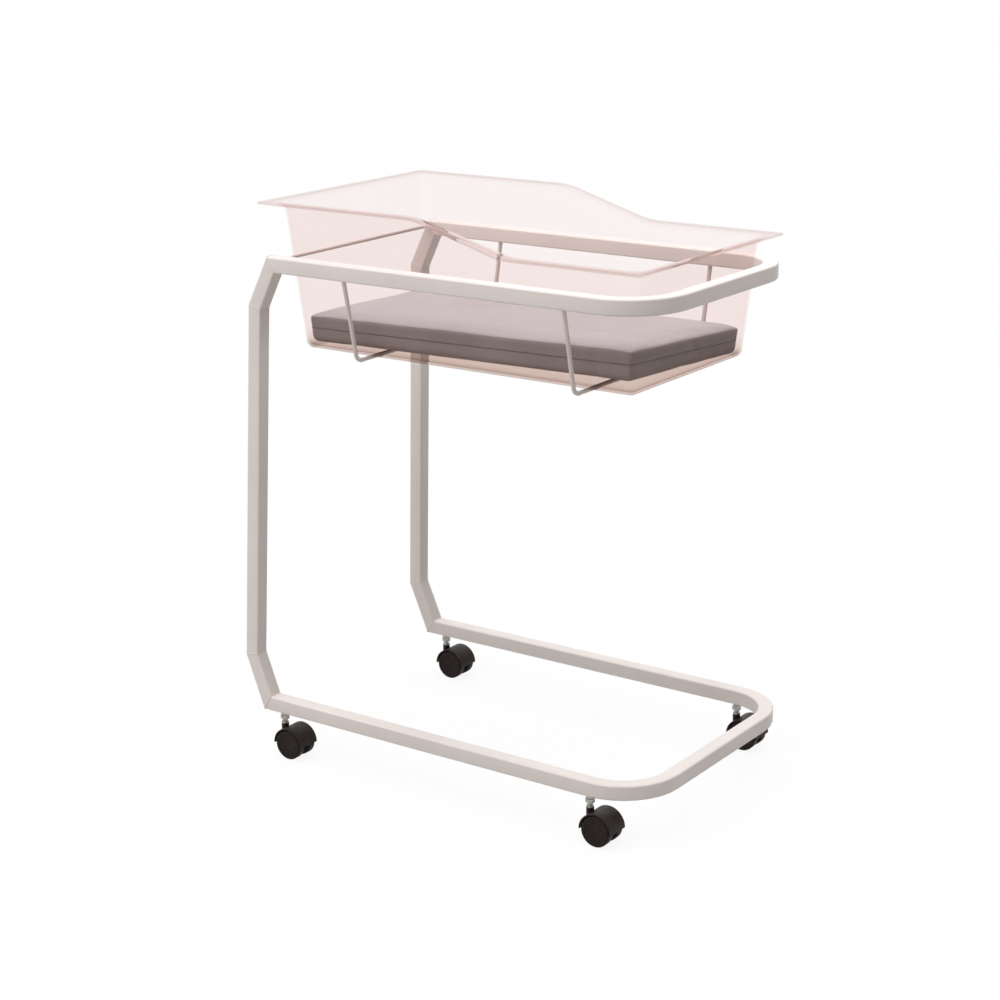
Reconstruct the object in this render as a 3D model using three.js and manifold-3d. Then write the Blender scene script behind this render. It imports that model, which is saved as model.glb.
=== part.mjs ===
// Hospital bassinet: a clear moulded tub hung in wire cradles from a C-shaped frame of square steel tube
// on four hooded twin-wheel casters, with a covered foam mattress in the tub.
// Millimetres, +Z up. +X points to the rounded foot end, +Y to the left of someone standing at the head end
// and facing the foot. The origin is on the floor under the middle of the base.
import * as THREE from 'three';
import { mergeVertices } from 'three/addons/utils/BufferGeometryUtils.js';
import Module from 'manifold-3d';

// Gap left between pieces that touch, are welded or are pressed together.
const GAP = 0.3;

// Frame tube.
const TUBE = 25;
const TUBE_WALL = 1.5;
const TUBE_EDGE = 3;
const BEND_RADIUS = 100;
const BEND_STEPS = 8;

// Upper and base rails, over their outer faces.
const BASE_LENGTH = 780;
const BASE_WIDTH = 480;
const RAIL_LENGTH = 750;
const RAIL_WIDTH = 450;
const RAIL_RISE = 740;
const HEAD_SETBACK = 25;

// Mitred elbow pieces between the rails and the uprights.
const TOP_ELBOW_RUN = 40;
const TOP_ELBOW_DROP = 80;
const BASE_ELBOW_RUN = 37;
const BASE_ELBOW_HEIGHT = 90;

// Head tie rod between the upper rail's sides, behind the tub's head wall.
const ROD_DIAMETER = 6;
const ROD_TUB_CLEARANCE = 5;
const ROD_BELOW_TOP = 9;

// Wire cradles under the tub.
const WIRE_DIAMETER = 7;
const WIRE_BEND = 14;
const CRADLE_DROP = 133;
const CRADLE_BESIDE_TUB = 18;
const HEAD_CRADLE_FROM_HEAD = 186;
const FOOT_CRADLE_FROM_FOOT = 156;

// Tub: a drafted shell with a rolled-out flange whose rim drops from the head to the foot.
const TUB_SHEET = 4;
const TUB_FROM_HEAD = 63;
const TUB_FROM_FOOT = 65;
const TUB_FROM_SIDE = 59;
const TUB_CORNER = 14;
const TUB_DRAFT = 5;
const TUB_HEAD_DEPTH = 238;
const TUB_FOOT_DEPTH = 192;
const TUB_FLOOR_FILLET = 12;
const TUB_RIM_FILLET = 16;
const FLANGE_HEAD_REACH = 48;
const FLANGE_FOOT_REACH = 39;
const FLANGE_SIDE_REACH = 49;
const FLANGE_CORNER = 5;
const RIM_DROP_START = 240;
const RIM_DROP_LENGTH = 196;
const RIM_DROP_SOFT_ENDS = 0.2;

// Mattress.
const MATTRESS_THICKNESS = 50;
const MATTRESS_CROWN = 5;
const MATTRESS_HEAD_LIFT = 7;
const MATTRESS_FOOT_LIFT = 22;
const MATTRESS_SIDE_GAP = 0.8;
const MATTRESS_CORNER = 8;
const MATTRESS_TOP_ROUND = 5;
const MATTRESS_FILLET_CLEARANCE = 2;
const MATTRESS_WAIST = 1.8;
const SEAM_BELOW_ROUND = 17;
const SEAM_BEAD = 1.6;
const COVER_SHEET = 1.2;
const COVER_OPENING_LENGTH = 300;
const COVER_OPENING_WIDTH = 4;

// Casters.
const WHEEL_DIAMETER = 50;
const WHEEL_WIDTH = 14.5;
const WHEEL_SIDES = 24;
const WHEEL_EDGE = 1.8;
const WHEEL_DISH = 1.3;
const WHEEL_RIM = 4;
const WHEEL_FACE = 3;
const CASTER_TRAIL = 21;
const CASTER_FROM_HEAD = 72;
const CASTER_FROM_FOOT = 102;
const HOOD_CLEARANCE = 1.5;
const HOOD_WALL = 2.2;
const HOOD_WEB = 11;
const HOOD_HUB = 9;
const HOOD_SIDE_GAP = 1;
const HOOD_NECK_DIAMETER = 12.5;
const HOOD_NECK_RISE = 0.8;
const AXLE_DIAMETER = 6;
const STEM_DIAMETER = 8;
const STEM_SHOW = 20.5;
const STEM_SEAT = 24;
const STEM_COLLAR_DIAMETER = 12;
const STEM_COLLAR = 2.5;
const NUT_FLATS = 13;
const NUT_HEIGHT = 6.5;
const BUSH_DIAMETER = 12.6;
const BUSH_SHOW = 6;

// Heights that follow from the stack of pieces between the floor and the tub.
const WHEEL_R = WHEEL_DIAMETER / 2;
const AXLE_Z = WHEEL_R;
const HOOD_R = WHEEL_R + HOOD_CLEARANCE + HOOD_WALL;
const NECK_TOP = AXLE_Z + HOOD_R + HOOD_NECK_RISE;
const BASE_UNDER = NECK_TOP + STEM_SHOW;
const BASE_Z = BASE_UNDER + TUBE / 2;
const RAIL_Z = BASE_Z + RAIL_RISE;
const RAIL_TOP = RAIL_Z + TUBE / 2;
const RAIL_UNDER = RAIL_Z - TUBE / 2;
const WIRE_Z = RAIL_UNDER - CRADLE_DROP;
const TUB_UNDER = WIRE_Z + WIRE_DIAMETER / 2 + GAP;

// Places along the length.
const BASE_HEAD = -BASE_LENGTH / 2;
const BASE_FOOT = BASE_LENGTH / 2;
const RAIL_HEAD = BASE_HEAD + HEAD_SETBACK;
const RAIL_FOOT = RAIL_HEAD + RAIL_LENGTH;
const BASE_SIDE = (BASE_WIDTH - TUBE) / 2;
const RAIL_SIDE = (RAIL_WIDTH - TUBE) / 2;

const wasm = await Module();
wasm.setup();

const powderCoat = { color: 0xe4dbd6, roughness: 0.42, metalness: 0.0 };
const wireCoat = { color: 0xb9afaa, roughness: 0.38, metalness: 0.2 };
const clearSheet = { color: 0xf4e6e2, roughness: 0.08, metalness: 0.0, transparent: true, opacity: 0.4 };
const coverCloth = { color: 0x968b89, roughness: 0.68, metalness: 0.0 };
const foam = { color: 0xd9d2b8, roughness: 0.95, metalness: 0.0 };
const blackNylon = { color: 0x26211f, roughness: 0.5, metalness: 0.0 };
const blackTread = { color: 0x1f1b1a, roughness: 0.62, metalness: 0.0 };
const zincSteel = { color: 0x8d8884, roughness: 0.36, metalness: 0.9 };

const vec = (x, y, z) => new THREE.Vector3(x, y, z);

// Shared vertices joined, collapsed triangles dropped, faces turned outward.
function closed(geometry) {
  const plain = geometry.clone();
  plain.deleteAttribute('normal');
  plain.deleteAttribute('uv');
  const merged = mergeVertices(plain, 1e-4);
  const place = merged.attributes.position.array;
  const index = merged.index.array;
  const kept = [];
  let volume = 0;
  const [a, b, c] = [vec(), vec(), vec()];
  for (let i = 0; i < index.length; i += 3) {
    const [p, q, r] = [index[i], index[i + 1], index[i + 2]];
    if (p === q || q === r || r === p) continue;
    kept.push(p, q, r);
    a.fromArray(place, 3 * p);
    b.fromArray(place, 3 * q);
    c.fromArray(place, 3 * r);
    volume += a.dot(b.cross(c));
  }
  if (volume < 0) kept.reverse();
  const out = new THREE.BufferGeometry();
  out.setAttribute('position', new THREE.Float32BufferAttribute(place, 3));
  out.setIndex(kept);
  out.computeVertexNormals();
  return out;
}

function solid(geometry) {
  const shape = closed(geometry);
  return new wasm.Manifold(new wasm.Mesh({
    numProp: 3,
    vertProperties: new Float32Array(shape.attributes.position.array),
    triVerts: new Uint32Array(shape.index.array),
  }));
}

function skin(manifold) {
  const mesh = manifold.getMesh();
  const out = new THREE.BufferGeometry();
  out.setAttribute('position', new THREE.Float32BufferAttribute(mesh.vertProperties, 3));
  out.setIndex(Array.from(mesh.triVerts));
  out.computeVertexNormals();
  return out;
}

// Skin over rings of equal length. A looped skin runs from the last ring back to the first; any other is
// closed by a fan round the middle of each end ring.
function loft(rings, looped) {
  const count = rings[0].length;
  const points = rings.flat();
  const faces = [];
  const spans = looped ? rings.length : rings.length - 1;
  for (let i = 0; i < spans; i++) {
    const near = i * count;
    const far = ((i + 1) % rings.length) * count;
    for (let k = 0; k < count; k++) {
      const n = (k + 1) % count;
      faces.push(near + k, near + n, far + n, near + k, far + n, far + k);
    }
  }
  if (!looped) {
    for (const ring of [0, rings.length - 1]) {
      const middle = points.length;
      const start = ring * count;
      points.push(rings[ring].reduce((sum, p) => sum.add(p), vec(0, 0, 0)).divideScalar(count));
      for (let k = 0; k < count; k++) {
        const edge = [start + k, start + (k + 1) % count];
        if (ring === 0) edge.reverse();
        faces.push(middle, ...edge);
      }
    }
  }
  const geometry = new THREE.BufferGeometry();
  geometry.setAttribute('position', new THREE.Float32BufferAttribute(points.flatMap((p) => p.toArray()), 3));
  geometry.setIndex(faces);
  return closed(geometry);
}

// Square with rounded corners, as points across a tube.
function squareSection(size, radius) {
  const points = [];
  for (let corner = 0; corner < 4; corner++) {
    for (let step = 0; step <= 2; step++) {
      const turn = (corner + step / 2) * Math.PI / 2;
      const along = corner * Math.PI / 2 + Math.PI / 4;
      const reach = (size / 2 - radius) * Math.SQRT2;
      points.push([
        reach * Math.cos(along) + radius * Math.cos(turn),
        reach * Math.sin(along) + radius * Math.sin(turn),
      ]);
    }
  }
  return points;
}

function roundSection(diameter, sides) {
  return Array.from({ length: sides }, (_, k) => {
    const turn = (k + 0.5) * 2 * Math.PI / sides;
    return [diameter / 2 * Math.cos(turn), diameter / 2 * Math.sin(turn)];
  });
}

// A place on a path: the section lies on u and v, slid along the path onto the plane through the place
// with the given normal, so that an end can be cut at an angle.
function ringAt({ at, u, v, along, normal }, section) {
  return section.map(([a, b]) => {
    const point = at.clone().addScaledVector(u, a).addScaledVector(v, b);
    if (!normal) return point;
    const slide = at.clone().sub(point).dot(normal) / along.dot(normal);
    return point.addScaledVector(along, slide);
  });
}

const TUBE_OUTSIDE = squareSection(TUBE, TUBE_EDGE);
const TUBE_INSIDE = squareSection(TUBE - 2 * TUBE_WALL, TUBE_EDGE - TUBE_WALL);

function hollowTube(places) {
  const outside = places.map((place) => ringAt(place, TUBE_OUTSIDE));
  const inside = places.map((place) => ringAt(place, TUBE_INSIDE)).reverse();
  return loft([...outside, ...inside], true);
}

// Outer edge of one side frame in the X and Z plane, from the base rail round the head to the upper rail,
// then the tube's centre line half a tube inside it.
const SIDE_EDGE = [
  [BASE_FOOT, BASE_UNDER],
  [BASE_HEAD + BASE_ELBOW_RUN, BASE_UNDER],
  [BASE_HEAD, BASE_UNDER + BASE_ELBOW_HEIGHT],
  [RAIL_HEAD, RAIL_TOP - TOP_ELBOW_DROP],
  [RAIL_HEAD + TOP_ELBOW_RUN, RAIL_TOP],
  [RAIL_FOOT, RAIL_TOP],
].map(([x, z]) => new THREE.Vector2(x, z));

function sideCentre(i) {
  const before = SIDE_EDGE[i].clone().sub(SIDE_EDGE[i - 1]).normalize();
  const after = SIDE_EDGE[i + 1].clone().sub(SIDE_EDGE[i]).normalize();
  const inward = vec(before.y + after.y, -before.x - after.x, 0);
  const scale = TUBE / 2 / (1 + before.dot(after));
  return new THREE.Vector2(SIDE_EDGE[i].x + inward.x * scale, SIDE_EDGE[i].y + inward.y * scale);
}

function sidePoint(side, i) {
  const centre = sideCentre(i);
  const share = (centre.y - BASE_Z) / (RAIL_Z - BASE_Z);
  return vec(centre.x, side * (BASE_SIDE + (RAIL_SIDE - BASE_SIDE) * share), centre.y);
}

const SIDE_POINTS = {};
for (const side of [-1, 1]) {
  SIDE_POINTS[side] = [1, 2, 3, 4].map((i) => sidePoint(side, i));
}

const FOOTWARD = vec(1, 0, 0);
const HEADWARD = vec(-1, 0, 0);
const UP = vec(0, 0, 1);

function mitreNormal(before, after) {
  return before.clone().add(after).normalize();
}

// Direction of the side frame's piece that starts at each of its four corners; the last is the upper rail.
function sideDirections(side) {
  const points = SIDE_POINTS[side];
  const runs = [0, 1, 2].map((i) => points[i + 1].clone().sub(points[i]).normalize());
  return [...runs, FOOTWARD];
}

function sideMitre(side, i) {
  const runs = sideDirections(side);
  return mitreNormal(i === 0 ? HEADWARD : runs[i - 1], runs[i]);
}

// Straight tube between two corners of a side frame, mitred at both ends.
function sideTube(side, i) {
  const points = SIDE_POINTS[side];
  const along = sideDirections(side)[i];
  const out = vec(0, side, 0).addScaledVector(along, -side * along.y).normalize();
  const across = out.clone().cross(along);
  const ends = [[i, GAP / 2], [i + 1, -GAP / 2]];
  return hollowTube(ends.map(([k, shift]) => {
    const normal = sideMitre(side, k);
    return { at: points[k].clone().addScaledVector(normal, shift), u: out, v: across, along, normal };
  }));
}

// One tube bent round the foot end, mitred to the side frames at its two head ends.
function bentRail(foot, width, corner) {
  const centreX = foot - BEND_RADIUS;
  const centreY = width / 2 - BEND_RADIUS;
  const reach = BEND_RADIUS - TUBE / 2;
  const atBase = corner === 0;
  const z = SIDE_POINTS[1][corner].z;
  const head = (side) => {
    const normal = sideMitre(side, corner);
    const shift = atBase ? -GAP / 2 : GAP / 2;
    const at = SIDE_POINTS[side][corner].clone().addScaledVector(normal, shift);
    return { at, u: vec(0, side, 0), v: UP, along: FOOTWARD, normal };
  };
  const places = [head(-1)];
  for (const side of [-1, 1]) {
    for (let step = 0; step <= BEND_STEPS; step++) {
      const turn = ((side - 1) / 2 + step / BEND_STEPS) * Math.PI / 2;
      const u = vec(Math.cos(turn), Math.sin(turn), 0);
      places.push({ at: vec(centreX, side * centreY, z).addScaledVector(u, reach), u, v: UP });
    }
  }
  places.push(head(1));
  return hollowTube(places);
}

function cylinderUp(diameter, bottom, top, sides) {
  const shape = new THREE.CylinderGeometry(diameter / 2, diameter / 2, top - bottom, sides);
  shape.rotateX(Math.PI / 2);
  shape.translate(0, 0, (bottom + top) / 2);
  return shape;
}

const CASTER_PLACES = [];
for (const [end, x] of [['head', BASE_HEAD + CASTER_FROM_HEAD], ['foot', BASE_FOOT - CASTER_FROM_FOOT]]) {
  for (const [name, side] of [['right', -1], ['left', 1]]) {
    CASTER_PLACES.push({ name: `${end}_${name}`, x, y: side * BASE_SIDE });
  }
}

// The base rail's underside is drilled for the four caster bushes.
function drilledBaseRail() {
  let rail = solid(bentRail(BASE_FOOT, BASE_WIDTH, 0));
  for (const { x, y } of CASTER_PLACES) {
    const hole = cylinderUp(BUSH_DIAMETER + 2 * GAP, BASE_UNDER - 1, BASE_UNDER + 2 * TUBE_WALL, 16);
    rail = rail.subtract(solid(hole.translate(x, y, 0)));
  }
  return skin(rail);
}

function tieRod() {
  const half = RAIL_WIDTH / 2 - TUBE - GAP;
  const z = RAIL_TOP - ROD_BELOW_TOP;
  const x = tubWall(z, 0).head - ROD_TUB_CLEARANCE - ROD_DIAMETER / 2;
  const section = roundSection(ROD_DIAMETER, 12);
  return loft([-half, half].map((y) => ringAt({ at: vec(x, y, z), u: FOOTWARD, v: UP }, section)), false);
}

// Wire cradle under the tub, in three lengths that butt at the ends of its bends: an arm that drops from
// under each side rail, leans in and bends flat, and a bar that passes below the tub.
const WIRE_SECTION = roundSection(WIRE_DIAMETER, 10);

function armPlaces(x) {
  const foot = vec(x, TUB_BASE.half + CRADLE_BESIDE_TUB, WIRE_Z);
  const top = vec(x, RAIL_SIDE, RAIL_UNDER - GAP);
  const rise = top.clone().sub(foot).normalize();
  const flat = vec(0, -1, 0);
  const turn = Math.PI - rise.angleTo(flat);
  const trim = WIRE_BEND * Math.tan(turn / 2);
  const start = foot.clone().addScaledVector(rise, trim);
  const middle = start.clone().addScaledVector(vec(0, -rise.z, rise.y), WIRE_BEND);
  const places = [{ at: top, u: FOOTWARD, v: vec(0, rise.z, -rise.y), along: rise, normal: UP }];
  for (let step = 0; step <= 5; step++) {
    const out = start.clone().sub(middle).normalize();
    out.applyAxisAngle(FOOTWARD, -turn * step / 5);
    places.push({ at: middle.clone().addScaledVector(out, WIRE_BEND), u: FOOTWARD, v: out });
  }
  return places;
}

function cradleArm(x, side) {
  const rings = armPlaces(x).map((place) => ringAt(place, WIRE_SECTION));
  return loft(rings.map((ring) => ring.map((p) => p.setY(side * p.y))), false);
}

function cradleBar(x) {
  const half = armPlaces(x).at(-1).at.y - GAP;
  const ends = [-half, half].map((y) => ({ at: vec(x, y, WIRE_Z), u: FOOTWARD, v: UP }));
  return loft(ends.map((place) => ringAt(place, WIRE_SECTION)), false);
}

// Points round a rectangle with rounded corners. Straight sides are divided alike at every size, so that
// outlines of different sizes can be skinned together.
const TUB_STEPS = { long: 22, short: 3, bend: 4 };
const PAD_STEPS = { long: 6, short: 3, bend: 4 };

function roundedOutline({ head, foot, half, corner, steps }) {
  const points = [];
  const corners = [
    [foot - corner, half - corner, 0, steps.long],
    [head + corner, half - corner, 1, steps.short],
    [head + corner, -half + corner, 2, steps.long],
    [foot - corner, -half + corner, 3, steps.short],
  ];
  corners.forEach(([x, y, quarter, count], i) => {
    for (let step = 0; step <= steps.bend; step++) {
      const turn = (quarter + step / steps.bend) * Math.PI / 2;
      points.push([x + corner * Math.cos(turn), y + corner * Math.sin(turn)]);
    }
    const [lastX, lastY] = points[points.length - 1];
    const next = corners[(i + 1) % 4];
    const nextTurn = (quarter + 1) * Math.PI / 2;
    const nextX = next[0] + corner * Math.cos(nextTurn);
    const nextY = next[1] + corner * Math.sin(nextTurn);
    for (let step = 1; step < count; step++) {
      points.push([lastX + (nextX - lastX) * step / count, lastY + (nextY - lastY) * step / count]);
    }
  });
  return points;
}

function grown({ head, foot, half, corner, steps }, by) {
  return { head: head - by, foot: foot + by, half: half + by, corner: Math.max(corner + by, 1), steps };
}

// Outline of the tub's outer faces where its drafted walls meet the plane of its underside.
const TUB_BASE = {
  head: RAIL_HEAD + TUB_FROM_HEAD,
  foot: RAIL_FOOT - TUB_FROM_FOOT,
  half: RAIL_WIDTH / 2 - TUB_FROM_SIDE,
  corner: TUB_CORNER,
  steps: TUB_STEPS,
};
const DRAFT_SLOPE = Math.tan(TUB_DRAFT * Math.PI / 180);
const FLANGE_EDGE = {
  head: TUB_BASE.head - FLANGE_HEAD_REACH,
  foot: TUB_BASE.foot + FLANGE_FOOT_REACH,
  half: TUB_BASE.half + FLANGE_SIDE_REACH,
  corner: FLANGE_CORNER,
  steps: TUB_STEPS,
};

// Outline of a face of the drafted walls at a height. The corners keep one radius all the way up.
function tubWall(z, inset) {
  return { ...grown(TUB_BASE, (z - TUB_UNDER) * DRAFT_SLOPE - inset), corner: TUB_CORNER - inset };
}

// Straight ramp from 0 to 1 with a parabola at each end.
function softRamp(share) {
  const soft = RIM_DROP_SOFT_ENDS;
  const place = THREE.MathUtils.clamp(share, 0, 1);
  if (place < soft) return place * place / (2 * soft * (1 - soft));
  if (place > 1 - soft) return 1 - (1 - place) ** 2 / (2 * soft * (1 - soft));
  return (place - soft / 2) / (1 - soft);
}

// The rim is high over the head, falls in a ramp and runs low round the foot.
function rimHeight(x) {
  const share = softRamp((x - TUB_BASE.head - RIM_DROP_START) / RIM_DROP_LENGTH);
  return TUB_UNDER + TUB_HEAD_DEPTH + (TUB_FOOT_DEPTH - TUB_HEAD_DEPTH) * share;
}

function ringOver(outline, height) {
  return roundedOutline(outline).map(([x, y]) => vec(x, y, height(x, y)));
}

// One face of the sheet from the floor's edge to the flange's edge. inset is the distance in from the
// outer face.
function tubFace(inset) {
  const floorZ = TUB_UNDER + inset;
  const floorRound = TUB_FLOOR_FILLET - inset;
  const rimRound = TUB_RIM_FILLET + inset;
  const drop = TUB_SHEET - inset;
  const rings = [];
  for (let step = 0; step <= 4; step++) {
    const turn = step / 4 * Math.PI / 2;
    const z = floorZ + floorRound * (1 - Math.cos(turn));
    rings.push(ringOver(grown(tubWall(z, inset), -floorRound * (1 - Math.sin(turn))), () => z));
  }
  const rimWall = (x) => rimHeight(x) - drop - rimRound;
  for (let step = 0; step <= 4; step++) {
    const turn = step / 4 * Math.PI / 2;
    const reach = rimRound * (1 - Math.cos(turn));
    const flat = roundedOutline(tubWall(floorZ, inset));
    rings.push(flat.map(([flatX, flatY], k) => {
      const z = rimWall(flatX) + rimRound * Math.sin(turn);
      const [x, y] = roundedOutline(grown(tubWall(rimWall(flatX), inset), reach))[k];
      return vec(x, y, z);
    }));
  }
  rings.push(ringOver(FLANGE_EDGE, (x) => rimHeight(x) - drop));
  return rings;
}

function tub() {
  return loft([...tubFace(0), ...tubFace(TUB_SHEET).reverse()], false);
}

// Mattress: its sides follow the tub's walls, are drawn in between the edges and carry one bead along
// the seam. The plan is taken where the tub's floor fillet runs out into the wall.
const MATTRESS_UNDER = TUB_UNDER + TUB_SHEET + GAP;
const MATTRESS_PLAN_Z = TUB_UNDER + TUB_FLOOR_FILLET;
const MATTRESS_PLAN = {
  ...grown(tubWall(MATTRESS_PLAN_Z, TUB_SHEET), -MATTRESS_SIDE_GAP),
  corner: MATTRESS_CORNER,
  steps: PAD_STEPS,
};

// The lower edge is rounder than the tub's floor fillet, so that the pad lies on the flat of the floor.
const MATTRESS_BOTTOM_ROUND = TUB_FLOOR_FILLET - TUB_SHEET + MATTRESS_FILLET_CLEARANCE;

// Cross profile of the pad from the middle of the underside to the crown, as [inset from the side, height].
function padProfile(seam) {
  const top = MATTRESS_THICKNESS - MATTRESS_CROWN;
  const profile = [[MATTRESS_PLAN.half * 0.6, 0]];
  for (let step = 0; step <= 4; step++) {
    const turn = step / 4 * Math.PI / 2;
    const round = MATTRESS_BOTTOM_ROUND;
    profile.push([round * (1 - Math.sin(turn)), round * (1 - Math.cos(turn))]);
  }
  const seamZ = top - MATTRESS_TOP_ROUND - SEAM_BELOW_ROUND;
  profile.push([MATTRESS_WAIST, (MATTRESS_BOTTOM_ROUND + seamZ) / 2]);
  if (seam) {
    profile.push([MATTRESS_WAIST, seamZ - SEAM_BEAD]);
    profile.push([MATTRESS_WAIST - SEAM_BEAD, seamZ]);
    profile.push([MATTRESS_WAIST, seamZ + SEAM_BEAD]);
  }
  for (let step = 0; step <= 4; step++) {
    const turn = step / 4 * Math.PI / 2;
    profile.push([
      MATTRESS_TOP_ROUND * (1 - Math.cos(turn)) + (seam ? 0.4 : MATTRESS_WAIST / 2),
      top - MATTRESS_TOP_ROUND * (1 - Math.sin(turn)),
    ]);
  }
  for (const share of [0.3, 0.6]) {
    const across = 1 - share;
    profile.push([MATTRESS_PLAN.half * share, top + MATTRESS_CROWN * (1 - across * across)]);
  }
  return profile;
}

// The pad lies flat along its left side and rides up along its right, most of all at the foot.
function padLift(x, y) {
  const { head, foot, half } = MATTRESS_PLAN;
  const along = (x - head) / (foot - head);
  const lift = MATTRESS_HEAD_LIFT + (MATTRESS_FOOT_LIFT - MATTRESS_HEAD_LIFT) * along;
  return lift * (half - y) / (2 * half);
}

function padRings(profile, inset) {
  const middle = MATTRESS_THICKNESS / 2;
  return profile.map(([side, height]) => {
    const z = MATTRESS_UNDER + height + (height < middle ? inset : -inset);
    const flare = Math.max(z - MATTRESS_PLAN_Z, 0) * DRAFT_SLOPE;
    return ringOver(grown(MATTRESS_PLAN, flare - side - inset), (x, y) => z + padLift(x, y));
  });
}

// The cover is a sheet round the foam with an open slit along its underside.
function mattressCover() {
  const outside = solid(loft(padRings(padProfile(true), 0), false));
  const inside = solid(loft(padRings(padProfile(false), COVER_SHEET), false));
  const slit = new THREE.BoxGeometry(COVER_OPENING_LENGTH, COVER_OPENING_WIDTH, MATTRESS_THICKNESS);
  slit.translate((MATTRESS_PLAN.head + MATTRESS_PLAN.foot) / 2, 0, MATTRESS_UNDER);
  return skin(outside.subtract(inside).subtract(solid(slit)));
}

function mattressCore() {
  return loft(padRings(padProfile(false), COVER_SHEET + GAP), false);
}

// Profile of [radius, height] turned round Z.
function turned(profile, sides) {
  const points = profile.map(([r, z]) => new THREE.Vector2(r, z));
  const shape = new THREE.LatheGeometry(points, sides);
  shape.rotateX(Math.PI / 2);
  return closed(shape);
}

// Wheel with its axis on Z and its outer face up; its flats stand on the floor at the stated diameter.
const WHEEL_INNER = HOOD_WEB / 2 + HOOD_SIDE_GAP;
const AXLE_SOCKET = WHEEL_WIDTH - WHEEL_FACE;

function wheel() {
  const round = 1 / Math.cos(Math.PI / WHEEL_SIDES);
  const tread = WHEEL_R * round;
  const bore = AXLE_DIAMETER / 2 + GAP;
  const face = WHEEL_WIDTH - WHEEL_DISH;
  const shape = turned([
    [0, AXLE_SOCKET],
    [bore, AXLE_SOCKET],
    [bore, 0],
    [tread - WHEEL_EDGE, 0],
    [tread, WHEEL_EDGE],
    [tread, WHEEL_WIDTH - WHEEL_EDGE],
    [tread - WHEEL_EDGE, WHEEL_WIDTH],
    [tread - WHEEL_EDGE - WHEEL_RIM, WHEEL_WIDTH],
    [tread - WHEEL_EDGE - WHEEL_RIM - WHEEL_DISH, face],
    [0, face],
  ], WHEEL_SIDES);
  return shape.rotateZ(Math.PI / WHEEL_SIDES);
}

function axle() {
  const half = WHEEL_INNER + AXLE_SOCKET - GAP;
  const chamfer = AXLE_DIAMETER / 10;
  const r = AXLE_DIAMETER / 2;
  return turned([
    [0, -half],
    [r - chamfer, -half],
    [r, -half + chamfer],
    [r, half - chamfer],
    [r - chamfer, half],
    [0, half],
  ], 12);
}

// Half-round hood over both wheels, with a web between them that holds the axle and the stem's socket.
function hood() {
  const width = HOOD_WEB + 2 * HOOD_SIDE_GAP + 2 * WHEEL_WIDTH;
  const arch = new THREE.Shape();
  arch.absarc(0, 0, HOOD_R, 0, Math.PI, false);
  arch.closePath();
  const shell = new THREE.ExtrudeGeometry(arch, { depth: width, bevelEnabled: false, curveSegments: 16 });
  shell.translate(0, 0, -width / 2);
  shell.rotateX(Math.PI / 2);
  shell.translate(CASTER_TRAIL, 0, AXLE_Z);
  const across = (diameter, from, to, sides) => {
    const bar = new THREE.CylinderGeometry(diameter / 2, diameter / 2, to - from, sides);
    return solid(bar.translate(CASTER_TRAIL, (from + to) / 2, AXLE_Z));
  };
  const neck = solid(cylinderUp(HOOD_NECK_DIAMETER, AXLE_Z + HOOD_HUB, NECK_TOP, 16));
  let body = solid(shell).add(neck).add(across(2 * HOOD_HUB, -HOOD_WEB / 2, HOOD_WEB / 2, 16));
  const pocket = 2 * (HOOD_R - HOOD_WALL);
  body = body.subtract(across(pocket, HOOD_WEB / 2, width, 24));
  body = body.subtract(across(pocket, -width, -HOOD_WEB / 2, 24));
  body = body.subtract(across(AXLE_DIAMETER + 2 * GAP, -HOOD_WEB, HOOD_WEB, 12));
  const socket = cylinderUp(STEM_DIAMETER + 2 * GAP, NECK_TOP - STEM_SEAT, NECK_TOP + 1, 16);
  return skin(body.subtract(solid(socket)));
}

// Stem: a pin in the hood's socket, a collar that bears on the neck, and a threaded end in the rail's bush.
function stem() {
  const r = STEM_DIAMETER / 2;
  const bottom = NECK_TOP - STEM_SEAT + GAP;
  const collar = NECK_TOP + GAP;
  const top = BASE_UNDER + TUBE - TUBE_WALL - 2 * GAP;
  const lead = r / 4;
  return turned([
    [0, bottom],
    [r - lead, bottom],
    [r, bottom + lead],
    [r, collar],
    [STEM_COLLAR_DIAMETER / 2, collar],
    [STEM_COLLAR_DIAMETER / 2, collar + STEM_COLLAR],
    [r, collar + STEM_COLLAR],
    [r, top - lead],
    [r - lead, top],
    [0, top],
  ], 16);
}

function hexNut() {
  const shape = new THREE.Shape();
  for (let k = 0; k < 6; k++) {
    const turn = (k + 0.5) * Math.PI / 3;
    const reach = NUT_FLATS / 2 / Math.cos(Math.PI / 6);
    const [x, y] = [reach * Math.cos(turn), reach * Math.sin(turn)];
    if (k === 0) shape.moveTo(x, y);
    else shape.lineTo(x, y);
  }
  shape.closePath();
  const hole = new THREE.Path();
  hole.absarc(0, 0, STEM_DIAMETER / 2 + GAP, 0, 2 * Math.PI, true);
  shape.holes.push(hole);
  const nut = new THREE.ExtrudeGeometry(shape, { depth: NUT_HEIGHT, bevelEnabled: false, curveSegments: 12 });
  return closed(nut.translate(0, 0, BASE_UNDER - BUSH_SHOW - GAP - NUT_HEIGHT));
}

// Bush through the rail's underside, up to its top wall, that the stem screws into.
function bush() {
  const inner = STEM_DIAMETER / 2 + GAP;
  const outer = BUSH_DIAMETER / 2;
  const bottom = BASE_UNDER - BUSH_SHOW;
  const top = BASE_UNDER + TUBE - TUBE_WALL - GAP;
  return turned([[inner, bottom], [outer, bottom], [outer, top], [inner, top], [inner, bottom]], 16);
}

function mesh(name, geometry, look) {
  const piece = new THREE.Mesh(geometry, new THREE.MeshStandardMaterial(look));
  piece.name = name;
  return piece;
}

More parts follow.
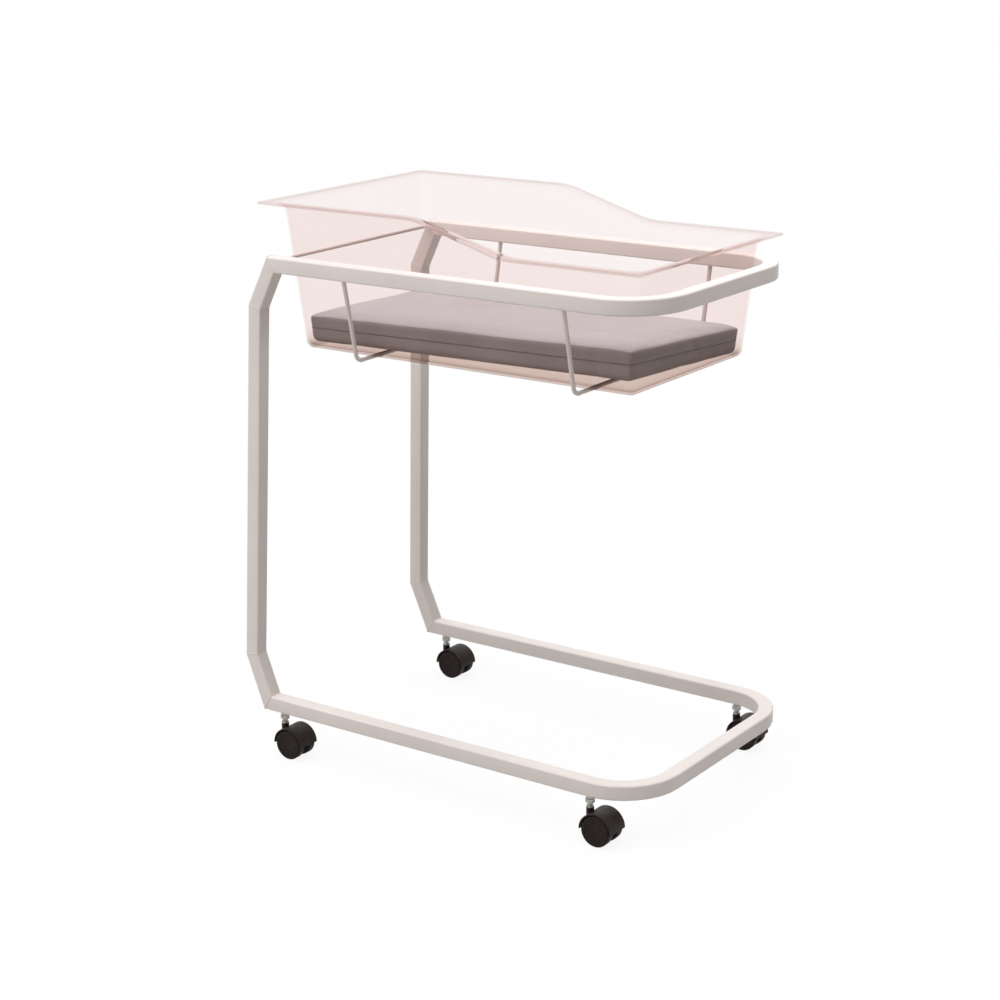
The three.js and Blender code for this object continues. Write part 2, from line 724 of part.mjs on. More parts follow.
function caster({ name, x, y }) {
  const group = new THREE.Group();
  group.position.set(x, y, 0);
  group.add(mesh(`caster_bush_${name}`, bush(), zincSteel));
  group.add(mesh(`caster_nut_${name}`, hexNut(), zincSteel));
  group.add(mesh(`caster_stem_${name}`, stem(), zincSteel));
  group.add(mesh(`caster_hood_${name}`, hood(), blackNylon));
  const running = new THREE.Group();
  running.position.set(CASTER_TRAIL, 0, AXLE_Z);
  running.rotation.x = -Math.PI / 2;
  running.add(mesh(`caster_axle_${name}`, axle(), zincSteel));
  const left = mesh(`wheel_left_${name}`, wheel(), blackTread);
  left.position.z = WHEEL_INNER;
  running.add(left);
  const right = mesh(`wheel_right_${name}`, wheel(), blackTread);
  right.rotation.x = Math.PI;
  right.position.z = -WHEEL_INNER;
  running.add(right);
  group.add(running);
  return group;
}

const bassinet = new THREE.Group();
bassinet.name = 'bassinet';
bassinet.add(mesh('upper_rail', bentRail(RAIL_FOOT, RAIL_WIDTH, 3), powderCoat));
bassinet.add(mesh('base_rail', drilledBaseRail(), powderCoat));
for (const [name, side] of [['right', -1], ['left', 1]]) {
  bassinet.add(mesh(`base_elbow_${name}`, sideTube(side, 0), powderCoat));
  bassinet.add(mesh(`upright_${name}`, sideTube(side, 1), powderCoat));
  bassinet.add(mesh(`top_elbow_${name}`, sideTube(side, 2), powderCoat));
}
bassinet.add(mesh('head_tie_rod', tieRod(), wireCoat));
const CRADLE_PLACES = [
  ['head', RAIL_HEAD + HEAD_CRADLE_FROM_HEAD],
  ['foot', RAIL_FOOT - FOOT_CRADLE_FROM_FOOT],
];
for (const [end, x] of CRADLE_PLACES) {
  bassinet.add(mesh(`${end}_cradle_bar`, cradleBar(x), wireCoat));
  bassinet.add(mesh(`${end}_cradle_arm_right`, cradleArm(x, -1), wireCoat));
  bassinet.add(mesh(`${end}_cradle_arm_left`, cradleArm(x, 1), wireCoat));
}
bassinet.add(mesh('tub', tub(), clearSheet));
bassinet.add(mesh('mattress_cover', mattressCover(), coverCloth));
bassinet.add(mesh('mattress_core', mattressCore(), foam));
for (const place of CASTER_PLACES) {
  bassinet.add(caster(place));
}

export default bassinet;
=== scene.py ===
# Hospital bassinet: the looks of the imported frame, tub, mattress and casters.
# Metres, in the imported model's frame.
import math

import bmesh
import bpy
import numpy as np
from mathutils import Matrix, Vector
from mathutils.bvhtree import BVHTree


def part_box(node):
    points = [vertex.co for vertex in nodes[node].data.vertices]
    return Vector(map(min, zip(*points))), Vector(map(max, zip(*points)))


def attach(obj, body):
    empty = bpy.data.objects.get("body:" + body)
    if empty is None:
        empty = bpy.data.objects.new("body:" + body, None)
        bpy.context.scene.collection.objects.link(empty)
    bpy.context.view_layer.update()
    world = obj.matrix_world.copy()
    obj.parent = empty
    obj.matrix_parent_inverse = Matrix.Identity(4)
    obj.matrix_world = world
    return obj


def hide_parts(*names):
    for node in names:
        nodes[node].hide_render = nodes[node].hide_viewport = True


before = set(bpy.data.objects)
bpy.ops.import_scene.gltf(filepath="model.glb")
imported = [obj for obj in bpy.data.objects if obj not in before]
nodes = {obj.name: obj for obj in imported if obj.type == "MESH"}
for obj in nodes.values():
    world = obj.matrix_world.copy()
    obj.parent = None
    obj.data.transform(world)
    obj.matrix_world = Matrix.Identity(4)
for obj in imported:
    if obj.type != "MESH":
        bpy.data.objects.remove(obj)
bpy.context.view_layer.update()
scene = bpy.context.scene

# Square tube and the corners of the side frames, along the tube's outer edge.
TUBE = 0.025
TUBE_EDGE = 0.003
BASE_ELBOW = (0.037, 0.090)
TOP_ELBOW = (0.040, 0.080)
BASE_HEAD = -0.390
BASE_FOOT = 0.390
BASE_UNDER = 0.075
RAIL_HEAD = -0.365
RAIL_FOOT = 0.385
RAIL_TOP = 0.840
BASE_SIDE = 0.2275
RAIL_SIDE = 0.2125

# Tub sheet, from the box of its solid.
TUB_LOW, TUB_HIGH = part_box("tub")
TUB_SHEET = 0.004
TUB_DRAFT = math.tan(math.radians(5))
TUB_FLANGE = {"head": TUB_LOW.x, "foot": TUB_HIGH.x, "half": TUB_HIGH.y, "corner": 0.005}
TUB_BASE = {
    "head": TUB_LOW.x + 0.048,
    "foot": TUB_HIGH.x - 0.039,
    "half": TUB_HIGH.y - 0.049,
    "corner": 0.014,
}
TUB_FLOOR_FILLET = 0.012
TUB_RIM_FILLET = 0.016
RIM_DROP = 0.046
RIM_DROP_START = 0.240
RIM_DROP_LENGTH = 0.196
RIM_DROP_SOFT_ENDS = 0.2

# Tones of the clear sheet, and what it takes from the light on the way through it. The floor tone is painted
# shade low on the tub floor, and the edge tone is painted darkening at the floor's bend and the lip. Its
# index is close to that of air, because a higher one traps rays in the sheet and blackens the edges.
SHEET_INDEX = 1.003
SHEET_WALL = (252, 247, 246)
# Painted shade: the sheet's colour low on the tub floor, where the mattress shades it.
SHEET_FLOOR_SHADE = (233, 221, 213)
# Painted darkening at the floor's bend and the lip, darker than the sheet's own tint, and its share at the
# lip.
SHEET_EDGE_SHADE = (166, 150, 143)
SHEET_LIP_SHADE_SHARE = 0.32
SHEET_DEPTH_COLOR = (0.62, 0.30, 0.26, 1)
SHEET_DEPTH_DENSITY = 12

# Mattress, which stands on the floor of the tub and follows its walls.
PAD_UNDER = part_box("mattress_cover")[0].z
PAD_SIDE_GAP = 0.0008
PAD_CORNER = 0.008
PAD_THICKNESS = 0.050
PAD_CROWN = 0.005
PAD_HEAD_LIFT = 0.007
PAD_FOOT_LIFT = 0.022
PAD_UNDER_LIFT = 0.7
PAD_TOP_ROUND = 0.005
PAD_BOTTOM_ROUND = 0.010
PAD_WAIST = 0.0008
PAD_SEAM = 0.023
PAD_TIGHT = 0.0015

# Forms of the cover: puckers that fan out of the top's corners, broad dents and a fold in the foot end.
PAD_TOP_FROM, PAD_TOP_FADE = 0.039, 0.006
PUCKER_HEIGHT, PUCKER_REACH, PUCKER_WIDTH, PUCKER_FANS = 0.0007, 0.045, 0.022, 11
DENT_DEPTH = 0.0012
DENT_ALONG, DENT_ACROSS, DENT_SLANT, DENT_SWAY, DENT_SWAY_RATE = 23, 15, 6, 1.3, 17
FOLD_Y, FOLD_Z, FOLD_SLOPE = 0.029, 0.022, 0.75
FOLD_DEPTH, FOLD_WIDTH, FOLD_SPAN = 0.0025, 0.0045, 0.022
FOLD_REACH, FOLD_FADE = 0.015, 0.012
SEAM_RADIUS = 0.0016
SEAM_SUNK = 0.5


# Materials.

def linear(red, green, blue):
    def channel(value):
        value /= 255
        return value / 12.92 if value <= 0.04045 else ((value + 0.055) / 1.055) ** 2.4
    return (channel(red), channel(green), channel(blue), 1.0)


class Look:
    """A node material whose textures are measured in metres in the model's own frame."""

    def __init__(self, name, color, roughness, **sockets):
        self.material = bpy.data.materials.new(name)
        self.material.use_nodes = True
        self.tree = self.material.node_tree
        self.shader = self.tree.nodes["Principled BSDF"]
        self.shader.inputs["Base Color"].default_value = color
        self.shader.inputs["Roughness"].default_value = roughness
        for socket, value in sockets.items():
            self.shader.inputs[socket.replace("_", " ")].default_value = value
        self.coords = self.tree.nodes.new("ShaderNodeTexCoord")

    def add(self, kind, **settings):
        node = self.tree.nodes.new(kind)
        for key, value in settings.items():
            setattr(node, key, value)
        return node

    def link(self, source, target):
        self.tree.links.new(source, target)

    def noise(self, size, detail=2.0, stretch=(1, 1, 1)):
        """Soft noise whose blobs are about size metres across."""
        mapping = self.add("ShaderNodeMapping")
        mapping.inputs["Scale"].default_value = tuple(s / size for s in stretch)
        texture = self.add("ShaderNodeTexNoise")
        texture.inputs["Scale"].default_value = 1.0
        texture.inputs["Detail"].default_value = detail
        self.link(self.coords.outputs["Object"], mapping.inputs["Vector"])
        self.link(mapping.outputs["Vector"], texture.inputs["Vector"])
        return texture.outputs["Fac"]

    def bands(self, direction, pitch, distortion=0.0):
        """Waves across one axis, one every pitch metres."""
        texture = self.add("ShaderNodeTexWave", wave_type="BANDS", bands_direction=direction)
        texture.inputs["Scale"].default_value = math.pi / 10 / pitch
        texture.inputs["Distortion"].default_value = distortion
        self.link(self.coords.outputs["Object"], texture.inputs["Vector"])
        return texture.outputs["Fac"]

    def ramp(self, value, low, high, start=0.3, end=0.7):
        node = self.add("ShaderNodeValToRGB")
        for element, place, color in zip(node.color_ramp.elements, (start, end), (low, high)):
            element.position = place
            element.color = color
        self.link(value, node.inputs["Fac"])
        return node.outputs["Color"]

    def spread(self, value, low, high, start=0.3, end=0.7):
        node = self.add("ShaderNodeMapRange")
        for socket, setting in (("From Min", start), ("From Max", end), ("To Min", low), ("To Max", high)):
            node.inputs[socket].default_value = setting
        self.link(value, node.inputs["Value"])
        return node.outputs["Result"]

    def math(self, operation, *values):
        node = self.add("ShaderNodeMath", operation=operation)
        for socket, value in zip(node.inputs, values):
            if isinstance(value, (int, float)):
                socket.default_value = value
            else:
                self.link(value, socket)
        return node.outputs["Value"]

    def bump(self, height, depth, strength=1.0, over=None):
        node = self.add("ShaderNodeBump")
        node.inputs["Distance"].default_value = depth
        node.inputs["Strength"].default_value = strength
        self.link(height, node.inputs["Height"])
        if over is not None:
            self.link(over, node.inputs["Normal"])
        return node.outputs["Normal"]

    def color(self, value):
        self.link(value, self.shader.inputs["Base Color"])

    def roughness(self, value):
        self.link(value, self.shader.inputs["Roughness"])

    def normal(self, value):
        self.link(value, self.shader.inputs["Normal"])


def powder_coat(name, pale, shade):
    """Baked powder coat: a faint uneven tone, orange-peel bump and a satin gloss that varies a little."""
    look = Look(name, pale, 0.4)
    look.color(look.ramp(look.noise(0.16, 3), shade, pale))
    look.roughness(look.spread(look.noise(0.03, 3), 0.36, 0.48))
    peel = look.bump(look.noise(0.0022, 1), 0.00012, 0.35)
    look.normal(look.bump(look.noise(0.0006, 2), 0.00004, 0.4, peel))
    return look.material


def clear_sheet():
    """Formed clear sheet, whose volume takes colour along the way through it. Its colour holds painted shade
    low on the floor, and painted darkening at the lip and at the floor's bend.
    """
    look = Look("clear_sheet", linear(*SHEET_WALL), 0.02, Transmission_Weight=1.0, IOR=SHEET_INDEX,
                Coat_Weight=0.15, Coat_Roughness=0.03)
    split = look.add("ShaderNodeSeparateXYZ")
    look.link(look.coords.outputs["Object"], split.inputs["Vector"])
    # Painted shade: the sheet's colour turns darker and beiger towards the floor, where the mattress shades
    # it.
    rise = look.spread(split.outputs["Z"], 0.0, 0.85, TUB_LOW.z, TUB_LOW.z + 3 * TUB_FLOOR_FILLET)
    cloud = look.math("MULTIPLY", look.noise(0.2, 2), 0.15)
    clear = look.ramp(look.math("ADD", rise, cloud), linear(*SHEET_FLOOR_SHADE), linear(*SHEET_WALL), 0.0, 0.9)
    # Painted darkening at the lip and the floor's bend, read from the face attribute that build_tub sets.
    edge = look.add("ShaderNodeAttribute", attribute_name="edge").outputs["Fac"]
    tone = look.add("ShaderNodeMixRGB")
    tone.inputs["Color2"].default_value = linear(*SHEET_EDGE_SHADE)
    look.link(edge, tone.inputs["Fac"])
    look.link(clear, tone.inputs["Color1"])
    look.color(tone.outputs["Color"])
    marks = look.spread(look.noise(0.0012, 2, stretch=(1, 0.06, 1)), 0.01, 0.05, 0.5, 0.85)
    look.roughness(look.math("ADD", marks, look.math("MULTIPLY", edge, 0.3)))
    look.normal(look.bump(look.noise(0.09, 1), 0.0004, 0.3))
    depth = look.add("ShaderNodeVolumeAbsorption")
    depth.inputs["Color"].default_value = SHEET_DEPTH_COLOR
    depth.inputs["Density"].default_value = SHEET_DEPTH_DENSITY
    look.link(depth.outputs["Volume"], look.tree.nodes["Material Output"].inputs["Volume"])
    return look.material


def cover_cloth(name, pale, shade):
    """Coated mattress cover: a fine woven grain under a matt skin, with shallow creases and uneven tone."""
    look = Look(name, pale, 0.62, Specular_IOR_Level=0.2, Sheen_Weight=0.05, Sheen_Roughness=0.5)
    look.color(look.ramp(look.noise(0.09, 4), shade, pale, 0.32, 0.68))
    look.roughness(look.spread(look.noise(0.02, 3), 0.54, 0.70))
    grain = look.math("ADD", look.bands("X", 0.0011, 0.6), look.bands("Y", 0.0011, 0.6))
    creases = look.bump(look.noise(0.035, 3, stretch=(0.5, 1, 1)), 0.0016, 0.35)
    look.normal(look.bump(grain, 0.00012, 0.5, creases))
    return look.material


def foam_cells():
    """Open foam: fine cells with darker pores."""
    look = Look("foam_cells", linear(222, 214, 186), 0.95)
    cells = look.add("ShaderNodeTexVoronoi")
    cells.inputs["Scale"].default_value = 600
    look.link(look.coords.outputs["Object"], cells.inputs["Vector"])
    look.color(look.ramp(cells.outputs["Distance"], linear(196, 186, 150), linear(226, 219, 194), 0.0, 0.6))
    look.normal(look.bump(cells.outputs["Distance"], 0.0006, 0.6))
    return look.material


def moulded_black():
    """Moulded nylon hood: fine spark texture, a little dust in the tone and an uneven satin sheen."""
    look = Look("hood_black", linear(42, 31, 27), 0.44, Specular_IOR_Level=0.15)
    look.color(look.ramp(look.noise(0.012, 4), linear(29, 20, 17), linear(47, 35, 30), 0.35, 0.72))
    look.roughness(look.spread(look.noise(0.006, 3), 0.36, 0.52))
    look.normal(look.bump(look.noise(0.0007, 2), 0.00006, 0.5))
    return look.material


def wheel_black():
    """Wheel: black tread with scuffs, and turned rings on the faces round the wheel's own middle."""
    look = Look("wheel_black", linear(34, 25, 22), 0.5, Specular_IOR_Level=0.15)
    split = look.add("ShaderNodeSeparateXYZ")
    look.link(look.coords.outputs["Generated"], split.inputs["Vector"])
    offsets = [look.math("SUBTRACT", split.outputs[axis], 0.5) for axis in ("X", "Z")]
    squares = [look.math("MULTIPLY", value, value) for value in offsets]
    radius = look.math("SQRT", look.math("ADD", *squares))
    rings = look.math("SINE", look.math("MULTIPLY", radius, 150.0))
    look.color(look.ramp(look.noise(0.004, 4), linear(23, 16, 14), linear(46, 35, 30), 0.40, 0.78))
    look.roughness(look.spread(look.noise(0.005, 3), 0.42, 0.62))
    turned = look.bump(rings, 0.00012, 0.35)
    look.normal(look.bump(look.noise(0.0008, 2), 0.00006, 0.5, turned))
    return look.material


def zinc(name, threaded):
    """Zinc-plated steel, with a rolled thread where asked."""
    look = Look(name, linear(168, 164, 160), 0.34, Metallic=1.0)
    look.color(look.ramp(look.noise(0.004, 3), linear(140, 136, 132), linear(186, 182, 178)))
    look.roughness(look.spread(look.noise(0.003, 3), 0.26, 0.46))
    if threaded:
        look.normal(look.bump(look.bands("Z", 0.00125), 0.0004, 0.5))
    else:
        look.normal(look.bump(look.noise(0.0006, 2, stretch=(1, 1, 0.1)), 0.00004, 0.4))
    return look.material


LOOKS = {
    "frame": powder_coat("powder_coat", linear(238, 229, 224), linear(231, 221, 216)),
    "wire": powder_coat("wire_coat", linear(231, 220, 214), linear(221, 209, 203)),
    "tub": clear_sheet(),
    "cover": cover_cloth("cover_cloth", linear(191, 183, 185), linear(185, 177, 179)),
    # Painted shade: the pad's sides take this darker copy of the cover cloth, for the shade the rails and the
    # tub cast on them.
    "cover shaded side": cover_cloth("cover_side_shade", linear(155, 145, 144), linear(145, 135, 134)),
    "piping": cover_cloth("cover_piping", linear(122, 110, 109), linear(110, 99, 98)),
    "foam": foam_cells(),
    "hood": moulded_black(),
    "wheel": wheel_black(),
    "stem": zinc("zinc_thread", True),
    "zinc": zinc("zinc_plain", False),
}


def dress(obj, *looks):
    obj.data.materials.clear()
    for look in looks:
        obj.data.materials.append(LOOKS[look])


# Shading of the solids: the facets of a round blend, and real edges stay crisp.
SMOOTH_LIMIT = 50
WELD_DISTANCE = 0.00001
FLAT_WEIGHT = 80


def smooth_group(limit):
    group = bpy.data.node_groups.new("smooth_rounds", "GeometryNodeTree")
    group.interface.new_socket("Geometry", in_out="INPUT", socket_type="NodeSocketGeometry")
    group.interface.new_socket("Geometry", in_out="OUTPUT", socket_type="NodeSocketGeometry")
    enter = group.nodes.new("NodeGroupInput")
    leave = group.nodes.new("NodeGroupOutput")
    merge = group.nodes.new("GeometryNodeMergeByDistance")
    merge.inputs["Distance"].default_value = WELD_DISTANCE
    angle = group.nodes.new("GeometryNodeInputMeshEdgeAngle")
    below = group.nodes.new("FunctionNodeCompare")
    below.operation = "LESS_THAN"
    below.inputs["B"].default_value = math.radians(limit)
    edges = group.nodes.new("GeometryNodeSetShadeSmooth")
    edges.domain = "EDGE"
    faces = group.nodes.new("GeometryNodeSetShadeSmooth")
    link = group.links.new
    link(enter.outputs[0], merge.inputs["Geometry"])
    link(angle.outputs["Unsigned Angle"], below.inputs["A"])
    link(merge.outputs["Geometry"], faces.inputs["Geometry"])
    link(faces.outputs["Geometry"], edges.inputs["Geometry"])
    link(below.outputs["Result"], edges.inputs["Shade Smooth"])
    link(edges.outputs["Geometry"], leave.inputs[0])
    return group


SMOOTH = smooth_group(SMOOTH_LIMIT)
NODE_LOOKS = (
    ("tub", "tub"),
    ("mattress_cover", "cover"),
    ("mattress_core", "foam"),
    ("cradle", "wire"),
    ("rod", "wire"),
    ("hood", "hood"),
    ("wheel", "wheel"),
    ("stem", "stem"),
    ("caster", "zinc"),
    ("", "frame"),
)


def dress_solids():
    for name, node in nodes.items():
        dress(node, next(look for part, look in NODE_LOOKS if part in name))
        node.modifiers.new("rounds", "NODES").node_group = SMOOTH
        flats = node.modifiers.new("flats", "WEIGHTED_NORMAL")
        flats.keep_sharp = True
        flats.weight = FLAT_WEIGHT


# Meshes of the new pieces.
SHARPEST_CORNER = 0.001


def new_piece(name, points, faces, *looks):
    mesh = bpy.data.meshes.new(name)
    mesh.from_pydata([tuple(p) for p in points], [], faces)
    shape = bmesh.new()
    shape.from_mesh(mesh)
    bmesh.ops.recalc_face_normals(shape, faces=shape.faces)
    shape.to_mesh(mesh)
    shape.free()
    mesh.shade_smooth()
    obj = bpy.data.objects.new(name, mesh)
    scene.collection.objects.link(obj)
    dress(obj, *looks)
    return obj


def skin(rings, looped):
    """Points and faces over rings of equal length, closed by a fan at each end unless looped."""
    count = len(rings[0])
    points = [p for ring in rings for p in ring]
    faces = []
    for i in range(len(rings) if looped else len(rings) - 1):
        near, far = i * count, (i + 1) % len(rings) * count
        for k in range(count):
            n = (k + 1) % count
            faces.append((near + k, near + n, far + n, far + k))
    if not looped:
        for start in (0, (len(rings) - 1) * count):
            points.append(tuple(np.mean(points[start:start + count], axis=0)))
            middle = len(points) - 1
            faces.extend((middle, start + k, start + (k + 1) % count) for k in range(count))
    return points, faces


def outline(plan, steps, by=0.0):
    """Points round a rectangle with rounded corners, grown by a distance on every side."""
    head, foot, half = plan["head"] - by, plan["foot"] + by, plan["half"] + by
    corner = max(plan["corner"] + by, SHARPEST_CORNER)
    long, short, bend = steps
    corners = [(foot - corner, half - corner, long), (head + corner, half - corner, short),
               (head + corner, corner - half, long), (foot - corner, corner - half, short)]
    points = []
    for quarter, (x, y, count) in enumerate(corners):
        for step in range(bend + 1):
            turn = (quarter + step / bend) * math.pi / 2
            points.append((x + corner * math.cos(turn), y + corner * math.sin(turn)))
        last = points[-1]
        next_x, next_y = corners[(quarter + 1) % 4][:2]
        after = (next_x + corner * math.cos(turn), next_y + corner * math.sin(turn))
        for step in range(1, count):
            points.append(tuple(a + (b - a) * step / count for a, b in zip(last, after)))
    return points


def quarter_turn(steps):
    return [step / steps * math.pi / 2 for step in range(steps + 1)]


def whole_turn(steps):
    return [step / steps * 2 * math.pi for step in range(steps)]


# Tub: the solid's own form with finer rounds and a rounded lip, because clear sheet shows every facet.
TUB_STEPS = (60, 6, 10)
TUB_FLAT_INSETS = (0.10, 0.05)
TUB_BEND_STEPS = 8
TUB_WALL_SHARES = (0.25, 0.5, 0.75)
TUB_FLANGE_SHARES = (0.5, 1.0)
TUB_LIP_STEPS = 6


def soft_ramp(share):
    soft = RIM_DROP_SOFT_ENDS
    place = min(max(share, 0.0), 1.0)
    if place < soft:
        return place * place / (2 * soft * (1 - soft))
    if place > 1 - soft:
        return 1 - (1 - place) ** 2 / (2 * soft * (1 - soft))
    return (place - soft / 2) / (1 - soft)


def rim_height(x):
    share = (x - TUB_BASE["head"] - RIM_DROP_START) / RIM_DROP_LENGTH
    return TUB_HIGH.z - RIM_DROP * soft_ramp(share)


def tub_wall(z, inset):
    """Outline of a face of the drafted walls at a height. The corners keep one radius all the way up."""
    by = (z - TUB_LOW.z) * TUB_DRAFT - inset
    return {"head": TUB_BASE["head"] - by, "foot": TUB_BASE["foot"] + by, "half": TUB_BASE["half"] + by,
            "corner": TUB_BASE["corner"] - inset}


def tub_face(inset):
    """Rings over one face of the sheet, from the floor to the flange, inset from the outer face."""
    floor = TUB_LOW.z + inset
    floor_round = TUB_FLOOR_FILLET - inset
    rim_round = TUB_RIM_FILLET + inset
    drop = TUB_SHEET - inset
    rings = []
    for shrink in TUB_FLAT_INSETS:
        flat = outline(tub_wall(floor, inset), TUB_STEPS, -floor_round - shrink)
        rings.append([(x, y, floor) for x, y in flat])
    for turn in quarter_turn(TUB_BEND_STEPS):
        z = floor + floor_round * (1 - math.cos(turn))
        shrink = floor_round * (1 - math.sin(turn))
        rings.append([(x, y, z) for x, y in outline(tub_wall(z, inset), TUB_STEPS, -shrink)])
    low = floor + floor_round
    tops = [rim_height(x) - drop - rim_round for x, _ in outline(tub_wall(floor, inset), TUB_STEPS)]
    for share in TUB_WALL_SHARES:
        heights = [low + (top - low) * share for top in tops]
        rings.append([(*outline(tub_wall(z, inset), TUB_STEPS)[k], z) for k, z in enumerate(heights)])
    for turn in quarter_turn(TUB_BEND_STEPS):
        reach = rim_round * (1 - math.cos(turn))
        rise = rim_round * math.sin(turn)
        rolled = [outline(tub_wall(z, inset), TUB_STEPS, reach)[k] for k, z in enumerate(tops)]
        rings.append([(x, y, z + rise) for (x, y), z in zip(rolled, tops)])
    start = rings[-1]
    edge = outline(TUB_FLANGE, TUB_STEPS, -TUB_SHEET / 2)
    for share in TUB_FLANGE_SHARES:
        across = [(a[0] + (b[0] - a[0]) * share, a[1] + (b[1] - a[1]) * share) for a, b in zip(start, edge)]
        rings.append([(x, y, rim_height(x) - drop) for x, y in across])
    return rings


def tub_lip():
    """Rings over the rounded lip, from the under face of the flange to its top face."""
    half = TUB_SHEET / 2
    rings = []
    for step in range(1, TUB_LIP_STEPS):
        turn = (step / TUB_LIP_STEPS - 0.5) * math.pi
        edge = outline(TUB_FLANGE, TUB_STEPS, half * (math.cos(turn) - 1))
        rings.append([(x, y, rim_height(x) - half + half * math.sin(turn)) for x, y in edge])
    return rings


def edge_shade_tones(spans):
    """Share of painted darkening in each row of faces: most at the low end of the floor's bend, some at the
    lip.
    """
    face = [0.0] * spans
    bend = len(TUB_FLAT_INSETS)
    face[bend:bend + TUB_BEND_STEPS] = [1 - step / TUB_BEND_STEPS for step in range(TUB_BEND_STEPS)]
    floors = [0.0, 0.0]
    return [*face, *[SHEET_LIP_SHADE_SHARE] * TUB_LIP_STEPS, *face[::-1], *floors]


def build_tub():
    outer = tub_face(0.0)
    inner = tub_face(TUB_SHEET)
    points, faces = skin(outer + tub_lip() + inner[::-1], False)
    tub = new_piece("tub_sheet", points, faces, "tub")
    tones = edge_shade_tones(len(outer) - 1)
    # Painted darkening: each row of faces gets its share of the darker edge colour.
    shade_mark = tub.data.attributes.new("edge", "FLOAT", "FACE")
    shade_mark.data.foreach_set("value", [tone for tone in tones for _ in outer[0]])
    tub.visible_shadow = False
    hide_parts("tub")
    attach(tub, "tub")


# Mattress: simulated as a filled cover, then sewn with a seam bead.
PAD_STEPS = (40, 20, 6)
PAD_ROUND_STEPS = 6
PAD_UNDER_SHARES = (0.8, 0.55, 0.3)
PAD_TOP_SHARES = (0.25, 0.5, 0.8)
PAD_VOXEL = 0.005
SWELL_CAP = 0.004
SWELL_FRAMES = 20
# Faces that slope less upward than this get the painted shade of the sides.
PAD_SHADE_SLOPE = 0.45
SEAM_STEPS = (90, 44, 10)
SEAM_SIDES = 8
SEAM_AIM = 0.07
SEAM_START = 0.05
PAD_PLAN_Z = TUB_LOW.z + TUB_FLOOR_FILLET
PAD_PLAN = {**tub_wall(PAD_PLAN_Z, TUB_SHEET + PAD_SIDE_GAP), "corner": PAD_CORNER}


def pad_lift(x, y, z):
    """The pad lies flat along its left side and rides up along its right, most at the foot and on top."""
    along = (x - PAD_PLAN["head"]) / (PAD_PLAN["foot"] - PAD_PLAN["head"])
    lift = PAD_HEAD_LIFT + (PAD_FOOT_LIFT - PAD_HEAD_LIFT) * along
    share = PAD_UNDER_LIFT + (1 - PAD_UNDER_LIFT) * (z - PAD_UNDER) / PAD_THICKNESS
    return lift * share * (PAD_PLAN["half"] - y) / (2 * PAD_PLAN["half"])


def pad_flare(z):
    """How far the sides stand out at a height, along the drafted walls."""
    return np.maximum(z - PAD_PLAN_Z, 0.0) * TUB_DRAFT


def pad_rings():
    """The pad's form before it is filled: flat, and drawn in all round by what it will swell."""
    top = PAD_THICKNESS - PAD_CROWN
    profile = [(PAD_PLAN["half"] * share, 0.0) for share in PAD_UNDER_SHARES]
    for turn in quarter_turn(PAD_ROUND_STEPS):
        low = PAD_BOTTOM_ROUND
        profile.append((low * (1 - math.sin(turn)), low * (1 - math.cos(turn))))
    profile.append((PAD_WAIST, PAD_SEAM))
    for turn in quarter_turn(PAD_ROUND_STEPS):
        profile.append((PAD_TOP_ROUND * (1 - math.cos(turn)), top - PAD_TOP_ROUND * (1 - math.sin(turn))))
    for share in PAD_TOP_SHARES:
        profile.append((PAD_PLAN["half"] * share, top + PAD_CROWN * (1 - (1 - share) ** 2)))
    rings = []
    for inset, height in profile:
        z = PAD_UNDER + height - (PAD_TIGHT if height > PAD_SEAM else 0.0)
        by = float(pad_flare(z)) - inset - PAD_TIGHT
        rings.append([(x, y, z) for x, y in outline(PAD_PLAN, PAD_STEPS, by)])
    return rings


def points_of(mesh):
    flat = np.empty(len(mesh.vertices) * 3)
    mesh.vertices.foreach_get("co", flat)
    return flat.reshape(-1, 3)


def even_mesh(obj, size):
    remesh = obj.modifiers.new("even", "REMESH")
    remesh.mode = "VOXEL"
    remesh.voxel_size = size
    graph = bpy.context.evaluated_depsgraph_get()
    mesh = bpy.data.meshes.new_from_object(obj.evaluated_get(graph))
    obj.modifiers.clear()
    obj.data = mesh


def swell(pad, cap):
    """Fills the cover by cloth simulation and holds each point within cap of where it began."""
    start = points_of(pad.data)
    cloth = pad.modifiers.new("swell", "CLOTH")
    settings = cloth.settings
    settings.quality = 6
    settings.mass = 0.2
    settings.tension_stiffness = 20
    settings.compression_stiffness = 20
    settings.shear_stiffness = 8
    settings.bending_stiffness = 0.6
    settings.use_pressure = True
    settings.uniform_pressure_force = 4
    settings.effector_weights.gravity = 0
    cloth.point_cache.frame_start = 1
    cloth.point_cache.frame_end = SWELL_FRAMES
    for step in range(1, SWELL_FRAMES + 1):
        scene.frame_set(step)
    graph = bpy.context.evaluated_depsgraph_get()
    move = points_of(pad.evaluated_get(graph).data) - start
    pad.modifiers.clear()
    scene.frame_set(1)
    length = np.linalg.norm(move, axis=1, keepdims=True)
    return start + move * np.minimum(1.0, cap / np.maximum(length, 1e-9))


def puckers(x, y, head, foot, half):
    """Height of the small folds that fan out of the four corners of the top."""
    height = np.zeros_like(x)
    for corner_x in (head, foot):
        for corner_y in (-half, half):
            across, along = np.abs(x - corner_x), np.abs(y - corner_y)
            near = np.exp(-((np.hypot(across, along) - PUCKER_REACH) / PUCKER_WIDTH) ** 2)
            height += PUCKER_HEIGHT * np.sin(np.arctan2(along, across) * PUCKER_FANS) * near
    return height


def dents(x, y):
    """Height of the broad soft dents in the top: a bent wave along it and a slanted one across."""
    first = np.sin(DENT_ALONG * x + DENT_SWAY * np.sin(DENT_SWAY_RATE * y))
    second = np.sin(DENT_ACROSS * y + DENT_SLANT * x)
    return DENT_DEPTH * first * second


